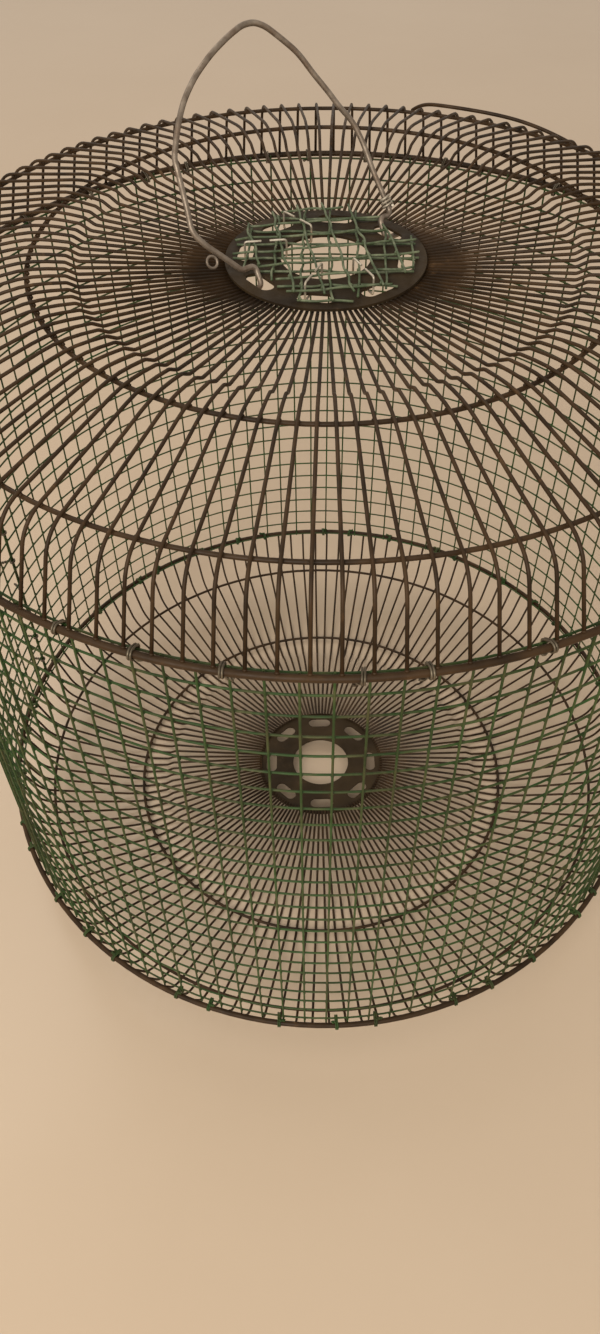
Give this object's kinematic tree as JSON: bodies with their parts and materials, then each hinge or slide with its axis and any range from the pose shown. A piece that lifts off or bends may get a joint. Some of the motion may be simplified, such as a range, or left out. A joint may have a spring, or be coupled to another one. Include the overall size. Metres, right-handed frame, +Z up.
{
  "type": "bird cage",
  "caption": "Round parrot cage made from two fan guards and rolled green welded mesh, with a wire bail on its roof.",
  "frame": {"origin": "on the floor, below the centre of the cage, where the axis of the two guards meets the surface that the cage stands on", "axes": "+Z up along the axis of the cage, +Y away from the viewer in the picture, +X to the viewer's right"},
  "size_m": [0.4468, 0.4468, 0.4982],
  "materials": {
    "guard_paint": "semi-gloss, worn dark brown",
    "mesh_coating": "green plastic coating on steel wire",
    "patch_coating": "faded grey-green plastic coating",
    "tie_wire": "dull galvanised binding wire",
    "bail_steel": "dull weathered galvanised wire"
  },
  "bodies": {
    "cage": {"top_guard_rim": "guard_paint", "top_guard_shoulder_hoop": "guard_paint", "top_guard_inner_hoop": "guard_paint", "top_guard_front_wires": "guard_paint", "top_guard_rear_wires": "guard_paint", "top_guard_hub_plate": "guard_paint", "bottom_guard_rim": "guard_paint", "bottom_guard_shoulder_hoop": "guard_paint", "bottom_guard_inner_hoop": "guard_paint", "bottom_guard_front_wires": "guard_paint", "bottom_guard_rear_wires": "guard_paint", "bottom_guard_hub_plate": "guard_paint", "wall_mesh_vertical_wires": "mesh_coating", "wall_mesh_lower_hoops": "mesh_coating", "wall_mesh_upper_hoops": "mesh_coating", "wall_seam_ties": "tie_wire", "top_rim_ties": "tie_wire", "bottom_rim_ties": "tie_wire", "patch_tie_wires": "tie_wire", "patch_lower_long_wires": "patch_coating", "patch_lower_cross_wires": "patch_coating", "patch_upper_long_wires": "patch_coating", "patch_upper_cross_wires": "patch_coating", "shoulder_loose_wire": "guard_paint"},
    "bail": {"bail_wire": "bail_steel", "bail_wrap": "bail_steel", "bail_side_eye": "bail_steel"}
  },
  "joints": [
    {"name": "bail_swing", "type": "hinge", "parent": "cage", "child": "bail", "pos_m": [0, 0, 0.41131], "axis": [0.8039, 0.5948, 0], "range_deg": [-16, 80]}
  ]
}
